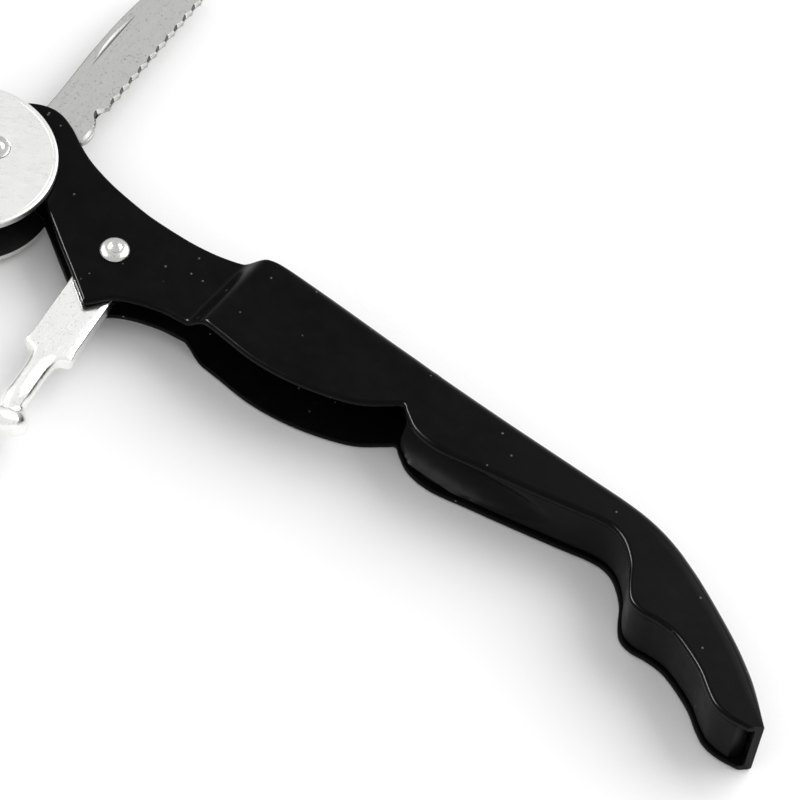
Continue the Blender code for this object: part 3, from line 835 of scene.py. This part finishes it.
def u_arm(name, outline, width, web, pivot, profile, wide=None):
    """Folded sheet arm: two cheeks of one outline with rounded edges, joined along the back by a web.

    The web runs from low to high along the arm, and up to floor across it.
    """
    place = (*pivot, MID)
    half = width / 2
    arm = object_from(name, plate(outline, half, profile, wide), place, LEVER_OPEN)
    inner = half - SHEET
    low, high, floor = web
    inside = [(-30.0, -30.0), (low, -30.0), (low, floor), (high, floor), (high, -30.0), (60.0, -30.0)]
    inside += [(60.0, 30.0), (-30.0, 30.0)]
    return arm, [object_from("cutter", prism(inside, -inner, inner), place, LEVER_OPEN)]


def rivet_seat(width, place):
    """Cutter for a rivet's hole, countersunk at both ends."""
    hole = PIN_RADIUS + CLEARANCE
    end = width / 2
    half = [(hole, end - SEAT_DEPTH), (hole + 0.55, end), (hole + 0.55, end + 0.3)]
    profile = [(r, -z) for r, z in reversed(half)] + half
    return object_from("cutter", spindle(profile), (*place, MID))


def lever_upper_arm():
    profile = [(1.30, 0.0), (0.80, 0.0), (0.70, 0.0), (0.65, 0.05), (0.60, 0.0), (0.42, 0.0)]
    profile += round_edge(0.30, 5)[1:]
    web, wide = (14.8, 24.0, -3.7), DISC_STEPS + 1
    arm, cutters = u_arm(
        "lever_upper_arm", upper_arm_outline(), LEVER_WIDTH, web, LEVER_PIVOT, profile, wide
    )
    cutters += [rivet_seat(LEVER_WIDTH, lever_place(x)) for x in (0.0, LINK_PIVOT_X)]
    carve(arm, cutters)
    dress(arm, "lever_upper", LOOKS["lever"])
    # Painted shade: the inner faces of both cheeks take near-black steel.
    inner = LEVER_WIDTH / 2 - SHEET + 0.01
    tint(arm, LOOKS["painted_shade"], lambda c, n: abs(n.z) > 0.9 and abs(c.z) < inner)


def lever_lower_arm():
    link = lever_place(LINK_PIVOT_X)
    web = (8.0, 60.0, -2.4)
    arm, cutters = u_arm("lever_lower_arm", lower_arm_outline(), LINK_WIDTH, web, link, round_edge(0.3))
    cutters.append(bore(link))
    lifter_window = [(22.5, -10.0), (28.0, -10.0), (28.0, 0.0), (22.5, 0.0)]
    cutters.append(object_from("cutter", prism(lifter_window, -0.9, 0.9), (*link, MID), LEVER_OPEN))
    carve(arm, cutters)
    dress(arm, "lever_lower", LOOKS["lever"])


# ---------------------------------------------------------------- rivets, washers, bushings

def worm_rivet():
    """Rivet with a domed head at each end, dimpled in the middle."""
    end = HEAD_THICKNESS / 2 + 0.08
    top = end + RIVET_HEAD_HEIGHT
    head = RIVET_HEAD_RADIUS
    half = [
        (0.05, top - 0.20), (0.35, top - 0.20), (0.60, top - 0.17), (0.74, top - 0.10),
        (0.82, top - 0.02), (0.92, top), (1.10, top - 0.005), (1.30, top - 0.04), (1.50, top - 0.11),
        (1.68, top - 0.22), (1.80, top - 0.34), (head - 0.02, end + 0.1), (head, end + 0.04),
        (head - 0.02, end), (PIN_RADIUS, end),
    ]
    profile = [(r, -z) for r, z in half] + list(reversed(half))
    rivet = object_from("worm_rivet", spindle(profile, 96), (*WORM_PIVOT, MID))
    dress(rivet, "handle", LOOKS["rivet"], 50)


def flush_rivet(name, pivot, width, body, slot_width=1.75):
    """Countersunk rivet, ends level with the cheeks, with the round mark of the riveting tool."""
    end = width / 2
    half = [
        (0.05, end - 0.16), (0.55, end - 0.16), (0.80, end - 0.13), (0.96, end - 0.05), (1.04, end - 0.01),
        (1.12, end), (slot_width - 0.14, end), (slot_width - 0.04, end - 0.03), (slot_width, end - 0.08),
        (PIN_RADIUS, end - SEAT_DEPTH),
    ]
    profile = [(r, -z) for r, z in half] + list(reversed(half))
    rivet = object_from(name, spindle(profile, 96), (*pivot, MID))
    dress(rivet, body, LOOKS["rivet"], 50)


def ring(name, pivot, low, high, radius, body):
    """Washer or bushing with broken edges."""
    inside = PIN_RADIUS + CLEARANCE
    soft = 0.08
    profile = [
        (inside + soft, low), (radius - soft, low), (radius, low + soft), (radius, high - soft),
        (radius - soft, high), (inside + soft, high), (inside, high - soft), (inside, low + soft),
    ]
    made = object_from(name, lathe(profile), (*pivot, MID))
    dress(made, body, LOOKS["grey"])


def washer_pair(kind, pivot, low, high, body):
    ring(kind + "_washer_upper", pivot, low, high, WASHER_RADIUS, body)
    ring(kind + "_washer_lower", pivot, -high, -low, WASHER_RADIUS, body)


def hardware():
    link = lever_place(LINK_PIVOT_X)
    head_inside = HEAD_THICKNESS / 2 - SHEET
    lever_inside = LEVER_WIDTH / 2 - SHEET
    link_inside = LINK_WIDTH / 2 - SHEET
    gap = 0.2
    worm_rivet()
    flush_rivet("knife_rivet", KNIFE_PIVOT, HEAD_THICKNESS, "handle", 1.95)
    flush_rivet("lever_pivot_rivet", LEVER_PIVOT, LEVER_WIDTH, "handle")
    flush_rivet("link_rivet", link, LEVER_WIDTH, "lever_upper")
    washer_pair("knife", KNIFE_PIVOT, BLADE_THICKNESS / 2 + gap, head_inside - gap, "handle")
    washer_pair("lever", LEVER_PIVOT, HEAD_THICKNESS / 2 + CLEARANCE, lever_inside - CLEARANCE, "handle")
    washer_pair("link", link, LINK_WIDTH / 2 + CLEARANCE, lever_inside - CLEARANCE, "lever_upper")
    ring("pivot_bushing", LEVER_PIVOT, gap - head_inside, head_inside - gap, BUSH_RADIUS, "handle")
    ring("link_bushing", link, gap - link_inside, link_inside - gap, BUSH_RADIUS, "lever_upper")


# ---------------------------------------------------------------- studio

def floor():
    n = Nodes("white_board")
    n.constant("Specular IOR Level", 0.1)
    n.constant("Roughness", 0.9)
    base = n.mix(n.span(n.noise(0.02, 4.0), 0.3, 0.7, 0.0, 1.0), (0.83, 0.83, 0.83), (0.85, 0.85, 0.85))
    n.link(base, n.shader.inputs["Base Color"])
    n.bump(((n.noise(1.6, 3.0), 0.25, 0.06),))
    bm = bmesh.new()
    bmesh.ops.create_grid(bm, x_segments=8, y_segments=8, size=1500.0)
    board = object_from("floor_board", bm, (0.0, 0.0, -0.05))
    board.data.materials.append(n.material)


CAMERA_TARGET = Vector((11.486, -0.652, 10.4)) * MM
CAMERA_DISTANCE = 548.8 * MM
ELEVATION = math.radians(56)
AZIMUTH = math.radians(28)
ROLL = math.radians(10)


def camera_axes():
    """Right, up and backward axes of the camera."""
    right = Vector((math.cos(AZIMUTH), math.sin(AZIMUTH), 0.0))
    away = Vector((-math.sin(AZIMUTH), math.cos(AZIMUTH), 0.0))
    forward = away * math.cos(ELEVATION) - Vector((0, 0, 1)) * math.sin(ELEVATION)
    upward = away * math.sin(ELEVATION) + Vector((0, 0, 1)) * math.cos(ELEVATION)
    tilted_right = right * math.cos(ROLL) + upward * math.sin(ROLL)
    tilted_up = upward * math.cos(ROLL) - right * math.sin(ROLL)
    return tilted_right, tilted_up, -forward


def camera():
    data = bpy.data.cameras.new("camera")
    data.lens = 202.5
    data.sensor_width = 36.0
    data.clip_start = 0.01
    data.clip_end = 20.0
    obj = bpy.data.objects.new("camera", data)
    bpy.context.scene.collection.objects.link(obj)
    right, up, back = camera_axes()
    place = CAMERA_TARGET + back * CAMERA_DISTANCE
    rows = [(right[k], up[k], back[k], place[k]) for k in range(3)]
    obj.matrix_world = Matrix((*rows, (0, 0, 0, 1)))
    bpy.context.scene.camera = obj


def area_light(name, bearing, elevation, distance, width, height, power, pieces=()):
    """Softbox aimed at the object, or a card that only some pieces reflect.

    Bearings run anticlockwise from the camera's right.
    """
    data = bpy.data.lights.new(name, "AREA")
    data.shape = "RECTANGLE"
    data.size = width
    data.size_y = height
    data.energy = power
    obj = bpy.data.objects.new(name, data)
    bpy.context.scene.collection.objects.link(obj)
    turn = AZIMUTH + math.radians(bearing)
    rise = math.radians(elevation)
    toward = Vector((math.cos(turn) * math.cos(rise), math.sin(turn) * math.cos(rise), math.sin(rise)))
    obj.location = CAMERA_TARGET + toward * distance
    obj.rotation_mode = "QUATERNION"
    obj.rotation_quaternion = toward.to_track_quat("Z", "Y")
    if pieces:
        group = bpy.data.collections.new(name + "_pieces")
        for piece in pieces:
            group.objects.link(piece)
        obj.light_linking.receiver_collection = group
        obj.visible_diffuse = False


def studio():
    world = bpy.data.worlds.new("studio")
    world.use_nodes = True
    background = world.node_tree.nodes["Background"]
    background.inputs["Color"].default_value = (1.0, 1.0, 1.0, 1.0)
    background.inputs["Strength"].default_value = 0.85
    bpy.context.scene.world = world
    area_light("key", bearing=34, elevation=42, distance=0.9, width=0.9, height=0.9, power=7.4)
    black_names = [name + PIECE for name in ("handle_shell", "grip_insert")]
    black = [bpy.data.objects[name] for name in black_names]
    others = (*black_names, "floor_board" + PIECE)
    steel = [obj for obj in bpy.data.objects if obj.name.endswith(PIECE) and obj.name not in others]
    card = {"distance": 0.8, "height": 0.25}
    area_light("left_card", bearing=176, elevation=38, width=0.6, power=46.0, pieces=black, **card)
    area_light("steel_card", bearing=168, elevation=40, width=0.5, power=9.0, pieces=steel, **card)
    bpy.context.scene.view_settings.view_transform = "Standard"
    bpy.context.scene.view_settings.look = "None"


handle_shell()
grip_insert()
worm()
knife_blade()
lever_upper_arm()
lever_lower_arm()
hardware()
floor()
camera()
studio()
